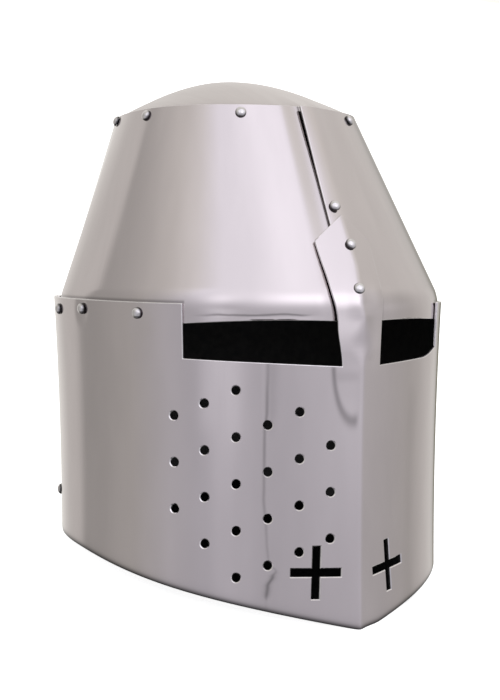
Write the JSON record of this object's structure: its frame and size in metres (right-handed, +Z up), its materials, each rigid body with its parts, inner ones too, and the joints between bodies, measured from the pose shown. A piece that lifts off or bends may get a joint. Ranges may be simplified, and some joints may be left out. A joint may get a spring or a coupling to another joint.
{
  "type": "great helm",
  "caption": "Riveted sheet-steel great helm: domed crown, wrapped skull plate, keeled face plate with sights, breaths and crosses, nasal bar, plain nape plate.",
  "frame": {"origin": "middle of the bounding box, on the plane that the helm rests on", "axes": "+Z up, the face and its keel toward -Y, +X toward the wearer's left; the helm leans back 15.1 degrees on its lower edge"},
  "size_m": [0.2248, 0.284, 0.2629],
  "materials": {
    "plate_steel": "satin polished, brushed",
    "crown_steel": "satin polished, brushed",
    "rivet_steel": "polished round heads"
  },
  "bodies": {
    "root": {"brow_rivet_left_1": "rivet_steel", "brow_rivet_left_2": "rivet_steel", "brow_rivet_left_3": "rivet_steel", "brow_rivet_right_1": "rivet_steel", "brow_rivet_right_2": "rivet_steel", "brow_rivet_right_3": "rivet_steel", "crown_plate": "crown_steel", "face_plate": "plate_steel", "lap_rivet": "rivet_steel", "nape_plate": "plate_steel", "nape_rivet_left_1": "rivet_steel", "nape_rivet_left_2": "rivet_steel", "nape_rivet_right_1": "rivet_steel", "nape_rivet_right_2": "rivet_steel", "nasal_rivet_1": "rivet_steel", "nasal_rivet_2": "rivet_steel", "rim_rivet_1": "rivet_steel", "rim_rivet_2": "rivet_steel", "rim_rivet_3": "rivet_steel", "rim_rivet_4": "rivet_steel", "rim_rivet_5": "rivet_steel", "rim_rivet_6": "rivet_steel", "rim_rivet_7": "rivet_steel", "seam_rivet_left": "rivet_steel", "seam_rivet_right": "rivet_steel", "skull_plate": "plate_steel"}
  },
  "joints": []
}
